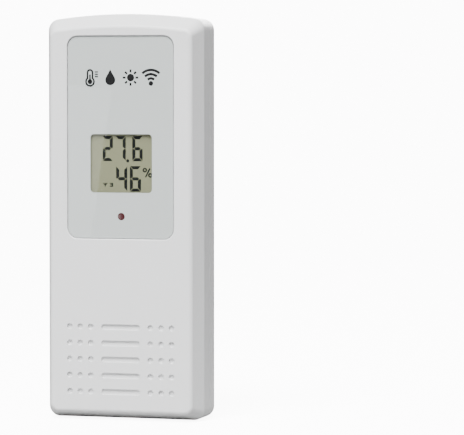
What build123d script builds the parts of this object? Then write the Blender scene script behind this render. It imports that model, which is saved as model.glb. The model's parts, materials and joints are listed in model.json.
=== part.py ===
from build123d import *
from math import sqrt
import os

# Wireless outdoor sensor for temperature and humidity: a slim two-part case with a display behind a
# clear panel, two AA cells under a screwed door at the back, and a keyhole to hang it by.
# +X is to the right seen from the front, the front faces -Y, +Z is up, and it stands on z = 0.

# ---------------------------------------------------------------- driving dimensions, mm
width = 52.4
depth = 24.4
height = 130.0
wall = 2.0
arch_radius = 165.0
corner_radius = 3.6
seam_gap = 0.16

# Bevels: how deep each runs along Y, and how far it draws in the sides, the top and the foot.
front_bevel_depth, front_bevel = 6.3, (2.65, 3.8, 2.3)
rear_bevel_depth, rear_bevel = 6.7, (3.3, 3.0, 1.7)
front_cavity_bevel = (2.3, 3.4, 2.0)
rear_cavity_bevel = (2.9, 2.7, 1.5)
crease_radius = 1.8
edge_radius = 1.5
catch_z, catch_half_length = (34.0, 98.0), 5.0

# Panel recess in the front, with a printed film and a clear plate in it.
panel_half_width, panel_z, panel_corner = 17.85, (58.06, 122.95), 3.5
panel_depth, panel_rim_radius = 1.05, 0.3
plate_gap = 0.15
film_thickness = 0.12
plate_thickness, plate_edge_radius = 0.55, 0.25
ink_gap = 0.04
window_half_width, window_z, window_corner = 10.3, (72.89, 91.57), 1.2
window_margin = 0.7
lamp_z, lamp_window_radius = 65.25, 1.2
lamp_hole_radius = 1.65

# Pressed-in bars and dimples below the panel.
row_count, row_pitch, row_top_z = 5, 5.21, 30.75
bar_length, bar_height, groove_depth = 13.0, 1.85, 0.6
dimple_x, dimple_radius = (10.0, 13.6, 17.1), 0.95

# Battery door, its screw tab and its hooks.
door_half_width, door_z, door_thickness = 16.64, (6.03, 83.18), 1.6
door_gap = 0.3
tab_radius, tab_fillet = 6.3, 1.2
screw_z, screw_head_radius, screw_shank_radius = 84.49, 1.85, 1.0
head_sink, head_height, screw_length = 1.0, 1.2, 6.4
counterbore_radius = 2.5
boss_radius, boss_recess_radius, boss_hole_radius = 5.0, 3.8, 1.45
hook_x, hook_y = (11.0, 14.6), (8.9, 9.9)

# Battery bay for two AA cells side by side.
cell_radius, cell_length, nub_radius, nub_length = 7.2, 49.4, 2.75, 1.05
cell_x, cell_y = 7.75, 2.75
bay_half_width, bay_z, bay_floor_y = 15.6, (6.0, 62.6), -4.7
bay_wall = 1.2
spring_height, spring_wire_radius, spring_turns = 4.55, 0.32, 4
contact_thickness = 0.4

# Switch panel above the cells, under the same door.
switch_z, switch_floor_y = (63.8, 82.2), 3.0
button_x, button_z, button_radius = 11.6, 68.5, 1.9
slider_z, slider_rest_x, slider_travel = 76.5, -2.0, 4.0

# Keyhole in the rear wall.
keyhole_radius, keyhole_z = 3.25, 115.3
keyhole_slot_half_width, keyhole_top_z = 2.25, 122.2
pocket_half_width, pocket_z, pocket_floor_y = 4.4, (110.6, 123.4), 4.6

# Boards and display.
board_half_width, board_z, board_y = 19.6, (64.0, 118.0), (-5.9, -4.7)
board_screw_x, board_screw_z = 17.2, (67.4, 114.6)
holder_pin_x, holder_pin_z = 13.3, (75.0, 92.0)
lamp_lead_x = 1.27
glass_half_width = 12.5

# ---------------------------------------------------------------- worked out from those
front_y, rear_y = -depth / 2, depth / 2
inner_front_y, inner_rear_y = front_y + wall, rear_y - wall - 0.2
recess_floor_y = front_y + panel_depth
panel_inner_y = recess_floor_y + 1.0
film_y = recess_floor_y - film_thickness
plate_back_y = film_y - ink_gap
ledge_y = rear_y - door_thickness - 0.1
door_inner_y = rear_y - door_thickness
head_top_y = rear_y - head_sink
head_seat_y = head_top_y - head_height
boss_floor_y = head_seat_y - 1.4
row_z = [row_top_z - bar_height / 2 - row_pitch * row for row in range(row_count)]
board_front_y, board_rear_y = board_y
lcd_centre_z = sum(window_z) / 2


# ---------------------------------------------------------------- helpers
def across(y):
    """The plane across the case at depth y, seen from the front: local x is X, local y is Z."""
    return Plane.XZ.offset(-y)


def outline(y, side, top, foot, corner):
    """The case's outline at depth y: flat foot, straight sides, arched top, all drawn in by the insets."""
    half = width / 2 - side
    crown = height - top
    shoulder = crown - arch_radius + sqrt(arch_radius**2 - half**2)
    with BuildSketch(across(y)) as profile:
        with BuildLine():
            Polyline((-half, shoulder), (-half, foot), (half, foot), (half, shoulder))
            ThreePointArc((half, shoulder), (0, crown), (-half, shoulder))
        make_face()
        fillet(profile.vertices(), corner)
    return profile.sketch


def plate(y, half_width, z_range, corner):
    """A rounded rectangle centred on x = 0 at depth y."""
    with BuildSketch(across(y)) as profile:
        with Locations((0, sum(z_range) / 2)):
            RectangleRounded(2 * half_width, z_range[1] - z_range[0], corner)
    return profile.sketch


def door_outline(y, gap):
    """The door's outline grown by a gap: a rectangle with a round screw tab on its top edge."""
    with BuildSketch(across(y)) as profile:
        with Locations((0, sum(door_z) / 2)):
            Rectangle(2 * (door_half_width + gap), door_z[1] - door_z[0] + 2 * gap)
        with Locations((0, door_z[1])):
            Circle(tab_radius + gap)
        top = door_z[1] + gap
        roots = profile.vertices().filter_by_position(Axis.Y, top - 0.01, top + 0.01)
        fillet([v for v in roots if abs(v.X) < door_half_width - 1], tab_fillet - gap)
    return profile.sketch


def keyhole_outline(y):
    """Round entry below, with a narrower round-ended slot above it."""
    slot_centre_z = keyhole_top_z - keyhole_slot_half_width
    with BuildSketch(across(y)) as profile:
        with Locations((0, keyhole_z)):
            Circle(keyhole_radius)
        with Locations((0, slot_centre_z)):
            Circle(keyhole_slot_half_width)
        with Locations((0, (keyhole_z + slot_centre_z) / 2)):
            Rectangle(2 * keyhole_slot_half_width, slot_centre_z - keyhole_z)
    return profile.sketch


def ring(y, outer_inset, inner_inset):
    """A closed band that follows the case's outline between two insets."""
    with BuildSketch(across(y)) as profile:
        add(outline(y, outer_inset, outer_inset, outer_inset, corner_radius - 1.5))
        add(outline(y, inner_inset, inner_inset, inner_inset, corner_radius - 2.2), mode=Mode.SUBTRACT)
    return profile.sketch


def block(x, y, z, mode=Mode.ADD):
    """A box from three (low, high) ranges, in the part being built."""
    with Locations((sum(x) / 2, sum(y) / 2, sum(z) / 2)):
        Box(x[1] - x[0], y[1] - y[0], z[1] - z[0], mode=mode)


def pin(x, z, y_range, radius, mode=Mode.ADD):
    """A cylinder along Y, in the part being built."""
    with Locations(Plane(origin=(x, sum(y_range) / 2, z), z_dir=(0, 1, 0))):
        Cylinder(radius, y_range[1] - y_range[0], mode=mode)


def post(x, y, z_range, radius, mode=Mode.ADD):
    """A cylinder along Z, in the part being built."""
    with Locations((x, y, sum(z_range) / 2)):
        Cylinder(radius, z_range[1] - z_range[0], mode=mode)


def span(centre, half):
    """The (low, high) range of a half size either side of a centre."""
    return (centre - half, centre + half)


def wire(points, radius, bend):
    """A round wire along straight runs joined by tangent arcs."""
    with BuildPart() as tube:
        with BuildLine() as route:
            FilletPolyline(*points, radius=bend)
        with BuildSketch(Plane(origin=route.line @ 0, z_dir=route.line % 0)):
            Circle(radius)
        sweep(path=route.line)
    return tube.part


def finish(piece, name):
    """Names a finished sub-part and writes it out."""
    piece.label = name
    export_step(piece, f"parts/{name}.step")


os.makedirs("parts", exist_ok=True)

# ---------------------------------------------------------------- front case
with BuildPart() as front_case:
    bevel_y = front_y + front_bevel_depth
    extrude(outline(-seam_gap / 2, 0, 0, 0, corner_radius), amount=-seam_gap / 2 - bevel_y)
    loft(
        [outline(bevel_y, 0, 0, 0, corner_radius), outline(front_y, *front_bevel, corner_radius - 1)],
        ruled=True,
    )
    fillet(front_case.edges().filter_by_position(Axis.Y, bevel_y - 0.01, bevel_y + 0.01), crease_radius)
    fillet(front_case.edges().filter_by_position(Axis.Y, front_y - 0.01, front_y + 0.01), edge_radius)

    # Hollow, following the bevel.
    cavity_y = bevel_y + 0.3
    extrude(outline(1, wall, wall, wall, corner_radius - 1.4), amount=1 - cavity_y, mode=Mode.SUBTRACT)
    cavity_front = [wall + inset for inset in front_cavity_bevel]
    loft(
        [
            outline(cavity_y, wall, wall, wall, corner_radius - 1.4),
            outline(inner_front_y, *cavity_front, corner_radius - 1.8),
        ],
        ruled=True,
        mode=Mode.SUBTRACT,
    )

    # Thicker bed behind the panel, the panel's recess, and the openings for display and lamp.
    bed = plate(panel_inner_y, panel_half_width + 1.4, (panel_z[0] - 1.4, panel_z[1] + 0.9), panel_corner)
    extrude(bed, amount=panel_inner_y - inner_front_y + 0.2)
    recess = plate(recess_floor_y, panel_half_width, panel_z, panel_corner)
    extrude(recess, amount=panel_depth, mode=Mode.SUBTRACT)
    rim = front_case.edges().filter_by_position(Axis.Y, front_y - 0.01, front_y + 0.01)
    fillet([edge for edge in rim if abs(edge.center().X) < panel_half_width + 0.5 and
            panel_z[0] - 0.5 < edge.center().Z < panel_z[1] + 0.5], panel_rim_radius)
    opening_z = (window_z[0] - window_margin, window_z[1] + window_margin)
    opening = plate(panel_inner_y, window_half_width + window_margin, opening_z, window_corner)
    extrude(opening, amount=1.2, mode=Mode.SUBTRACT)
    pin(0, lamp_z, (recess_floor_y - 0.2, panel_inner_y + 0.2), lamp_hole_radius, Mode.SUBTRACT)

    # Rows of pressed-in bars and dimples.
    with BuildSketch(across(front_y + groove_depth)) as grooves:
        for z in row_z:
            with Locations((0, z)):
                SlotOverall(bar_length, bar_height)
            with Locations([(side * x, z) for side in (-1, 1) for x in dimple_x]):
                Circle(dimple_radius)
    extrude(amount=groove_depth + 0.1, mode=Mode.SUBTRACT)

    # Pillars for the main board, two short posts for the sensor board.
    for x in (-board_screw_x, board_screw_x):
        for z in board_screw_z:
            pin(x, z, (inner_front_y - 0.2, board_front_y), 2.2)
            pin(x, z, (inner_front_y + 0.4, board_front_y), 0.8, Mode.SUBTRACT)
    for x in (-6.0, 6.0):
        pin(x, 21.0, (inner_front_y - 0.2, -9.6), 1.2)

    # Air slots through the foot, and the grooves that the rear case's catches click into.
    for slot in range(-3, 4):
        block(span(4.2 * slot, 0.6), (-5.4, -2.4), (-0.5, wall + 0.5), Mode.SUBTRACT)
    for side in (-1, 1):
        for z in catch_z:
            groove = span(z, catch_half_length + 0.2)
            block(span(side * (width / 2 - wall), 0.55), (-1.25, -0.65), groove, Mode.SUBTRACT)
finish(front_case.part, "front_case")

# ---------------------------------------------------------------- rear case
with BuildPart() as rear_case:
    bevel_y = rear_y - rear_bevel_depth
    extrude(outline(seam_gap / 2, 0, 0, 0, corner_radius), amount=seam_gap / 2 - bevel_y)
    loft(
        [outline(bevel_y, 0, 0, 0, corner_radius), outline(rear_y, *rear_bevel, corner_radius - 1)],
        ruled=True,
    )
    fillet(rear_case.edges().filter_by_position(Axis.Y, bevel_y - 0.01, bevel_y + 0.01), crease_radius)
    fillet(rear_case.edges().filter_by_position(Axis.Y, rear_y - 0.01, rear_y + 0.01), edge_radius)
    cavity_y = bevel_y - 0.3
    extrude(outline(-1, wall, wall, wall, corner_radius - 1.4), amount=-1 - cavity_y, mode=Mode.SUBTRACT)
    cavity_rear = [wall + inset for inset in rear_cavity_bevel]
    loft(
        [
            outline(cavity_y, wall, wall, wall, corner_radius - 1.4),
            outline(inner_rear_y, *cavity_rear, corner_radius - 1.8),
        ],
        ruled=True,
        mode=Mode.SUBTRACT,
    )

    # Tongue that locates in the front case, with four catches.
    extrude(ring(2.0, wall - 0.1, wall + 0.9), amount=1.8)
    extrude(ring(0.3, wall + 0.08, wall + 0.9), amount=1.9)
    for side in (-1, 1):
        for z in catch_z:
            block(span(side * (width / 2 - wall - 0.1), 0.4), (-1.15, -0.75), span(z, catch_half_length))

    # Battery bay and switch panel, each a tray that hangs from the rear wall.
    bay_outer = bay_half_width + 1.5
    bay_outer_z = (bay_z[0] - bay_wall, bay_z[1] + bay_wall)
    block((-bay_outer, bay_outer), (bay_floor_y - bay_wall, ledge_y), bay_outer_z)
    block((-bay_outer, bay_outer), (switch_floor_y - bay_wall, ledge_y), (bay_z[1], switch_z[1] + bay_wall))

    # Boss for the door screw and pocket behind the keyhole.
    pin(0, screw_z, (7.0, ledge_y), boss_radius)
    pin(0, screw_z, (1.8, 7.0), 3.2)
    pocket_outer = pocket_half_width + bay_wall
    block((-pocket_outer, pocket_outer), (pocket_floor_y - bay_wall, inner_rear_y + 0.2),
          (pocket_z[0] - bay_wall, pocket_z[1] + bay_wall))
    block((-pocket_half_width, pocket_half_width), (pocket_floor_y, inner_rear_y), pocket_z, Mode.SUBTRACT)
    extrude(keyhole_outline(rear_y + 0.5), amount=wall + 1.2, mode=Mode.SUBTRACT)

    # Rebate for the door, then the two openings under it.
    extrude(door_outline(rear_y + 0.5, door_gap), amount=rear_y + 0.5 - ledge_y, mode=Mode.SUBTRACT)
    block((-bay_half_width, bay_half_width), (bay_floor_y, ledge_y + 0.5), bay_z, Mode.SUBTRACT)
    step_z = (bay_z[1] - 0.5, switch_z[0] + 0.5)
    block((-bay_half_width, bay_half_width), (9.0, ledge_y + 0.5), step_z, Mode.SUBTRACT)
    with BuildSketch(across(ledge_y + 0.5)):
        with Locations((0, sum(switch_z) / 2)):
            Rectangle(2 * bay_half_width, switch_z[1] - switch_z[0])
        with Locations((0, screw_z)):
            Circle(boss_radius, mode=Mode.SUBTRACT)
    extrude(amount=ledge_y + 0.5 - switch_floor_y, mode=Mode.SUBTRACT)
    pin(0, screw_z, (boss_floor_y, ledge_y + 0.2), boss_recess_radius, Mode.SUBTRACT)
    pin(0, screw_z, (2.6, boss_floor_y + 0.1), boss_hole_radius, Mode.SUBTRACT)

    # Low rib between the two cells.
    with BuildSketch(Plane.XY.offset(bay_z[0] + 4)):
        with BuildLine():
            root_y = bay_floor_y - 0.2
            Polyline((-1.6, root_y), (1.6, root_y), (0.35, -1.6), (-0.35, -1.6), close=True)
        make_face()
    extrude(amount=bay_z[1] - bay_z[0] - 8)

    # Ways through for the door's hooks, the contacts' tails, the buttons and the slider.
    for side in (-1, 1):
        hook = span(side * sum(hook_x) / 2, (hook_x[1] - hook_x[0]) / 2 + 0.4)
        block(hook, (8.1, 10.0), (3.5, bay_z[0] + 0.5), Mode.SUBTRACT)
        block(hook, (8.1, ledge_y + 0.2), (door_z[0] - door_gap, bay_z[0] + 0.5), Mode.SUBTRACT)
        block(span(side * cell_x, 1.3), (-3.8, -2.6), step_z, Mode.SUBTRACT)
        pin(side * button_x, button_z, (1.0, 3.5), button_radius + 0.1, Mode.SUBTRACT)
    slider_middle_x = slider_rest_x + slider_travel / 2
    block(span(slider_middle_x, slider_travel / 2 + 1.15), (1.0, 3.5), span(slider_z, 1.15), Mode.SUBTRACT)
finish(rear_case.part, "rear_case")

# ---------------------------------------------------------------- door and its screw
with BuildPart() as battery_door:
    extrude(door_outline(rear_y, 0), amount=door_thickness)
    pin(0, screw_z, (boss_floor_y + 0.2, door_inner_y + 0.2), boss_recess_radius - 0.4)
    pin(0, screw_z, (head_seat_y, rear_y + 0.5), counterbore_radius, Mode.SUBTRACT)
    pin(0, screw_z, (boss_floor_y, head_seat_y + 0.1), 1.25, Mode.SUBTRACT)
    for side in (-1, 1):
        hook = span(side * sum(hook_x) / 2, (hook_x[1] - hook_x[0]) / 2)
        block(hook, (hook_y[0], door_inner_y + 0.2), (6.4, 7.6))
        block(hook, hook_y, (4.1, 6.5))
    # Finger notch in the middle of the foot, and two stiffening ribs inside.
    block((-2.3, 2.3), (rear_y - 0.7, rear_y + 0.5), (door_z[0] - 0.5, door_z[0] + 0.55), Mode.SUBTRACT)
    for z in (24.0, 44.0):
        block((-12.5, 12.5), (door_inner_y - 0.35, door_inner_y + 0.2), span(z, 0.5))
finish(battery_door.part, "battery_door")

with BuildPart() as door_screw:
    pin(0, screw_z, (head_seat_y, head_top_y), screw_head_radius)
    fillet(door_screw.edges().filter_by_position(Axis.Y, head_top_y - 0.01, head_top_y + 0.01), 0.5)
    pin(0, screw_z, (head_seat_y - screw_length + 1.2, head_seat_y + 0.1), screw_shank_radius)
    tip_y = head_seat_y - screw_length
    with Locations(Plane(origin=(0, tip_y + 0.6, screw_z), z_dir=(0, 1, 0))):
        Cone(0.25, screw_shank_radius, 1.2)
    for half in ((1.15, 0.22), (0.22, 1.15)):
        cross_y = (head_top_y - 0.75, head_top_y + 0.5)
        block((-half[0], half[0]), cross_y, span(screw_z, half[1]), Mode.SUBTRACT)
finish(door_screw.part, "door_screw")

# ---------------------------------------------------------------- panel
plate_half_width = panel_half_width - plate_gap
plate_z = (panel_z[0] + plate_gap, panel_z[1] - plate_gap)
with BuildPart() as faceplate_label:
    with BuildSketch(across(recess_floor_y)):
        with Locations((0, sum(plate_z) / 2)):
            RectangleRounded(2 * plate_half_width, plate_z[1] - plate_z[0], panel_corner - plate_gap)
        with Locations((0, lcd_centre_z)):
            window_height = window_z[1] - window_z[0]
            RectangleRounded(2 * window_half_width, window_height, window_corner, mode=Mode.SUBTRACT)
        with Locations((0, lamp_z)):
            Circle(lamp_window_radius, mode=Mode.SUBTRACT)
    extrude(amount=film_thickness)
finish(faceplate_label.part, "faceplate_label")

with BuildPart() as faceplate:
    plate_back = plate(plate_back_y, plate_half_width, plate_z, panel_corner - plate_gap)
    extrude(plate_back, amount=plate_thickness)
    fillet(faceplate.faces().sort_by(Axis.Y)[0].edges(), plate_edge_radius)
finish(faceplate.part, "faceplate")

# ---------------------------------------------------------------- display
lcd_front_y = panel_inner_y + 0.2
glass_thickness = 1.1
lcd_middle_y = lcd_front_y + glass_thickness
lcd_rear_y = lcd_middle_y + glass_thickness
glass_z = (70.5, 93.5)
contact_ledge_z = 96.5

with BuildPart() as lcd_front_glass:
    block(span(0, glass_half_width), (lcd_front_y, lcd_middle_y), (glass_z[0], contact_ledge_z))
    chamfer(lcd_front_glass.edges().filter_by(Axis.Y), 0.3)
finish(lcd_front_glass.part, "lcd_front_glass")

with BuildPart() as lcd_rear_glass:
    block(span(0, glass_half_width), (lcd_middle_y + 0.02, lcd_rear_y), glass_z)
    chamfer(lcd_rear_glass.edges().filter_by(Axis.Y), 0.3)
finish(lcd_rear_glass.part, "lcd_rear_glass")

reflector_z = (glass_z[0] + 0.3, glass_z[1] - 0.3)
with BuildPart() as lcd_reflector:
    block(span(0, glass_half_width - 0.3), (lcd_rear_y + 0.02, lcd_rear_y + 0.2), reflector_z)
finish(lcd_reflector.part, "lcd_reflector")

strip_half_width, strip_z = 11.4, (94.1, 96.3)
with BuildPart() as lcd_holder:
    holder_y = (lcd_front_y + 0.2, board_front_y - 0.05)
    block(span(0, glass_half_width + 1.7), holder_y, (glass_z[0] - 1.6, contact_ledge_z + 1.6))
    glass_seat_z = (glass_z[0] - 0.15, contact_ledge_z + 0.15)
    glass_seat_y = (holder_y[0] - 1, lcd_rear_y + 0.3)
    block(span(0, glass_half_width + 0.15), glass_seat_y, glass_seat_z, Mode.SUBTRACT)
    behind_glass = (lcd_rear_y, board_front_y + 1)
    opening_z = (glass_z[0] + 1.9, glass_z[1] - 1.9)
    block(span(0, glass_half_width - 1.9), behind_glass, opening_z, Mode.SUBTRACT)
    strip_slot_z = (strip_z[0] - 0.1, strip_z[1] + 0.1)
    block(span(0, strip_half_width + 0.2), behind_glass, strip_slot_z, Mode.SUBTRACT)
    for side in (-1, 1):
        for z in holder_pin_z:
            pin(side * holder_pin_x, z, (holder_y[1] - 0.1, board_rear_y + 0.6), 0.6)
finish(lcd_holder.part, "lcd_holder")

with BuildPart() as lcd_contact_strip:
    block(span(0, strip_half_width), (lcd_middle_y + 0.02, board_front_y - 0.01), strip_z)
    fillet(lcd_contact_strip.edges().filter_by(Axis.Y), 0.3)
finish(lcd_contact_strip.part, "lcd_contact_strip")

# ---------------------------------------------------------------- main board and what is on it
with BuildPart() as main_board:
    extrude(plate(board_rear_y, board_half_width, board_z, 1.0), amount=board_rear_y - board_front_y)
    for x in (-board_screw_x, board_screw_x):
        for z in board_screw_z:
            pin(x, z, (board_front_y - 1, board_rear_y + 1), 1.1, Mode.SUBTRACT)
    for side in (-1, 1):
        for z in holder_pin_z:
            pin(side * holder_pin_x, z, (board_front_y - 1, board_rear_y + 1), 0.65, Mode.SUBTRACT)
        pin(side * lamp_lead_x, lamp_z, (board_front_y - 1, board_rear_y + 1), 0.4, Mode.SUBTRACT)
    notch_z = (board_z[1] - 0.8, board_z[1] + 0.5)
    block((-4.0, 4.0), (board_front_y - 1, board_rear_y + 1), notch_z, Mode.SUBTRACT)
finish(main_board.part, "main_board")

with BuildPart() as board_screws:
    for x in (-board_screw_x, board_screw_x):
        for z in board_screw_z:
            pin(x, z, (board_rear_y + 0.01, board_rear_y + 1.3), 1.9)
            pin(x, z, (inner_front_y + 0.8, board_rear_y + 0.1), 0.78)
    for x in (-board_screw_x, board_screw_x):
        for z in board_screw_z:
            slot_y = (board_rear_y + 0.7, board_rear_y + 1.6)
            block(span(x, 1.1), slot_y, span(z, 0.2), Mode.SUBTRACT)
            block(span(x, 0.2), slot_y, span(z, 1.1), Mode.SUBTRACT)
finish(board_screws.part, "board_screws")

led_radius = 1.5
with BuildPart() as status_led:
    led_base_y = board_front_y - 0.3
    shoulder_y, tip_y = led_base_y - 0.9, film_y + 0.22
    dome_y = tip_y + led_radius
    with BuildSketch(Plane.XY.offset(lamp_z)):
        with BuildLine():
            Polyline((0, led_base_y), (1.9, led_base_y), (1.9, shoulder_y), (led_radius, shoulder_y))
            Line((led_radius, shoulder_y), (led_radius, dome_y))
            RadiusArc((led_radius, dome_y), (0, tip_y), led_radius)
            Line((0, tip_y), (0, led_base_y))
        make_face()
    revolve(axis=Axis((0, 0, lamp_z), (0, 1, 0)))
finish(status_led.part, "status_led")

with BuildPart() as led_leads:
    for x in (-lamp_lead_x, lamp_lead_x):
        block(span(x, 0.25), (led_base_y + 0.01, board_rear_y + 0.9), span(lamp_z, 0.25))
finish(led_leads.part, "led_leads")

with BuildPart() as controller_blob:
    with Locations(Plane(origin=(3.0, board_rear_y - 9.0, 92.5), z_dir=(0, 1, 0))):
        Sphere(10.6)
    block((-20, 20), (board_rear_y - 30, board_rear_y), (60, 120), Mode.SUBTRACT)
finish(controller_blob.part, "controller_blob")

with BuildPart() as watch_crystal:
    post(-9.0, board_rear_y + 1.05, (88.5, 94.5), 1.0)
    fillet(watch_crystal.edges(), 0.2)
finish(watch_crystal.part, "watch_crystal")

with BuildPart() as electrolytic_capacitor:
    pin(14.4, 97.6, (board_rear_y + 0.02, board_rear_y + 7.0), 2.5)
    fillet(electrolytic_capacitor.edges().sort_by(Axis.Y)[-1], 0.4)
finish(electrolytic_capacitor.part, "electrolytic_capacitor")

with BuildPart() as chip_resistors:
    for column in range(3):
        for row in range(2):
            chip_y = (board_rear_y + 0.01, board_rear_y + 0.55)
            block(span(-12.0 + 3.2 * column, 1.0), chip_y, span(82.6 + 2.6 * row, 0.62))
finish(chip_resistors.part, "chip_resistors")

with BuildPart() as chip_capacitors:
    for column in range(4):
        block(span(4.0 + 3.0 * column, 0.62), (board_rear_y + 0.01, board_rear_y + 0.9), span(83.8, 1.0))
finish(chip_capacitors.part, "chip_capacitors")

radio_y = (board_rear_y + 1.6, board_rear_y + 2.4)
radio_x, radio_z = (-12.0, 8.0), (99.5, 112.0)
with BuildPart() as radio_board:
    block(radio_x, radio_y, radio_z)
    for pad in range(6):
        block(span(-9.6 + 2.54 * pad, 0.3), (board_rear_y + 0.01, radio_y[1] + 0.6), span(100.7, 0.3))
finish(radio_board.part, "radio_board")

with BuildPart() as radio_chip:
    block(span(-1.0, 2.0), (radio_y[1] + 0.15, radio_y[1] + 1.5), span(107.0, 2.5))
    for side in (-1, 1):
        for lead in range(4):
            lead_y = (radio_y[1] + 0.01, radio_y[1] + 0.5)
            block(span(-1.0 + side * 2.4, 0.6), lead_y, span(105.1 + 1.27 * lead, 0.2))
finish(radio_chip.part, "radio_chip")

with BuildPart() as radio_crystal:
    with BuildSketch(across(radio_y[1] + 3.5)):
        with Locations((-8.6, 107.0)):
            SlotOverall(9.0, 3.8, rotation=90)
    extrude(amount=3.45)
    fillet(radio_crystal.edges().sort_by(Axis.Y)[-4:], 0.4)
finish(radio_crystal.part, "radio_crystal")

# Quarter-wave aerial for 868 MHz, lying round the inside of the case's top.
antenna_points = [
    (14.0, board_rear_y + 0.55, 104.0),
    (14.6, -2.4, 107.0),
    (20.9, -2.2, 112.0),
    (20.9, -2.2, 121.5),
    (0.0, -2.2, 125.4),
    (-20.9, -2.2, 121.5),
    (-20.9, -2.2, 108.5),
]
finish(wire(antenna_points, 0.6, [2.6, 3.6, 3.6, 6.0, 3.6]), "antenna_wire")

# ---------------------------------------------------------------- switches, buttons and slider
switch_top_y = board_rear_y + 3.5
for name, side in (("reset", -1), ("unit", 1)):
    x = side * button_x
    with BuildPart() as tact_switch:
        block(span(x, 3.0), (board_rear_y + 0.02, switch_top_y), span(button_z, 3.0))
        pin(x, button_z, (switch_top_y - 1.4, switch_top_y + 0.5), 1.8, Mode.SUBTRACT)
    finish(tact_switch.part, f"{name}_switch")
    with BuildPart() as button:
        pin(x, button_z, (switch_top_y - 0.6, -0.3), 1.7)
        pin(x, button_z, (-0.4, 1.55), 2.7)
        pin(x, button_z, (1.4, switch_floor_y + 0.7), button_radius)
        fillet(button.edges().sort_by(Axis.Y)[-1], 0.3)
    finish(button.part, f"{name}_button")

with BuildPart() as channel_switch:
    block((-5.0, 5.0), (board_rear_y + 0.02, switch_top_y), span(slider_z, 2.2))
    slot_y = (switch_top_y - 1.6, switch_top_y + 1)
    block(span(slider_middle_x, slider_travel / 2 + 1.2), slot_y, span(slider_z, 1.1), Mode.SUBTRACT)
finish(channel_switch.part, "channel_switch")

with BuildPart() as channel_slider:
    block(span(slider_rest_x, 1.0), (switch_top_y - 1.3, switch_floor_y + 0.9), span(slider_z, 1.0))
    block(span(slider_rest_x, 2.0), (switch_top_y + 0.1, switch_top_y + 1.0), span(slider_z, 1.7))
    for notch in (-0.45, 0.45):
        notch_y = (switch_floor_y + 0.6, switch_floor_y + 2)
        block(span(slider_rest_x + notch, 0.15), notch_y, span(slider_z, 1.5), Mode.SUBTRACT)
finish(channel_slider.part, "channel_slider")

# ---------------------------------------------------------------- sensor board behind the foot's air slots
with BuildPart() as sensor_board:
    block(span(0, 8.5), (-9.6, -8.8), (8.0, 24.0))
finish(sensor_board.part, "sensor_board")

with BuildPart() as humidity_sensor:
    block(span(3.8, 2.8), (-8.78, -6.6), (8.8, 17.8))
    for row in range(4):
        block(span(3.8, 2.0), (-7.0, -6.0), span(10.6 + 1.8 * row, 0.35), Mode.SUBTRACT)
finish(humidity_sensor.part, "humidity_sensor")

with BuildPart() as thermistor:
    post(-4.4, -7.7, (9.0, 11.6), 1.1)
    chamfer(thermistor.edges().filter_by(GeomType.CIRCLE), 0.5)
    for x in (-4.9, -3.9):
        block(span(x, 0.2), span(-7.7, 0.2), (11.0, 17.1))
        block(span(x, 0.2), (-8.78, -7.6), (16.7, 17.1))
finish(thermistor.part, "thermistor")

with BuildPart() as sensor_wires:
    for x in (-5.2, -3.9, -2.6):
        route = [(x, -8.3, 21.5), (x, -7.35, 24.5), (x, -7.35, 61.5), (x, board_front_y - 0.45, 66.5)]
        add(wire(route, 0.5, 5.0))
finish(sensor_wires.part, "sensor_wires")

# ---------------------------------------------------------------- cells, springs and contacts
cell_start_z = bay_z[0] + contact_thickness + spring_height + 0.05
cell_end_z = cell_start_z + cell_length
for name, side in (("left", -1), ("right", 1)):
    with BuildPart() as battery:
        post(side * cell_x, cell_y, (cell_start_z, cell_end_z), cell_radius)
        fillet(battery.edges().filter_by(GeomType.CIRCLE), 0.5)
        post(side * cell_x, cell_y, (cell_end_z - 0.1, cell_end_z + nub_length), nub_radius)
    cell = battery.part
    if side == 1:
        cell = cell.rotate(Axis((cell_x, cell_y, sum(bay_z) / 2), (0, 1, 0)), 180)
    finish(cell, f"battery_{name}")

for name, side in (("left", -1), ("right", 1)):
    base_radius, tip_radius = 5.0, 3.2
    rise = spring_height - 2 * spring_wire_radius
    with BuildPart() as spring:
        with BuildLine(Plane(origin=(0, 0, spring_wire_radius))) as coil:
            Helix(rise / spring_turns, rise, base_radius, cone_angle=-30)
        with BuildSketch(Plane(origin=coil.line @ 0, z_dir=coil.line % 0)):
            Circle(spring_wire_radius)
        sweep(path=coil.line, is_frenet=True)
    standing = Pos(-cell_x, cell_y, bay_z[0] + contact_thickness) * spring.part
    if side == 1:
        standing = standing.rotate(Axis((0, cell_y, sum(bay_z) / 2), (0, 1, 0)), 180)
    finish(standing, f"spring_{name}")

with BuildPart() as bridge_contact:
    block(span(0, 14.4), span(cell_y - 1.0, 5.4), (bay_z[0], bay_z[0] + contact_thickness))
    with Locations((cell_x, cell_y, bay_z[0] + contact_thickness + 0.3)):
        Cone(3.4, 2.2, 0.7)
finish(bridge_contact.part, "bridge_contact")

top_plate_z = (bay_z[1] - contact_thickness, bay_z[1])
for name, side in (("positive_contact", -1), ("spring_plate", 1)):
    with BuildPart() as top_contact:
        block(span(side * cell_x, 5.6), span(cell_y - 1.0, 5.4), top_plate_z)
        block(span(side * cell_x, 1.0), (-3.4, -3.0), (bay_z[1] - 0.1, switch_z[0] + 1.6))
        if side == -1:
            with Locations(Plane(origin=(-cell_x, cell_y, top_plate_z[0] - 0.28), z_dir=(0, 0, -1))):
                Cone(3.4, 2.2, 0.7)
    finish(top_contact.part, name)

for name, side in (("positive_wire", -1), ("negative_wire", 1)):
    tail_z = switch_z[0] + 1.3
    route = [
        (side * cell_x, -2.45, tail_z - 0.9),
        (side * cell_x, -2.45, tail_z + 2.0),
        (side * (cell_x - 4.4), -1.9, tail_z + 5.2),
        (side * (cell_x - 4.4), board_rear_y + 0.6, tail_z + 8.6),
    ]
    finish(wire(route, 0.5, [2.6, 2.6]), name)
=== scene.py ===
"""Looks for a wireless outdoor temperature and humidity sensor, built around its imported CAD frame."""
import json
import math

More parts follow.
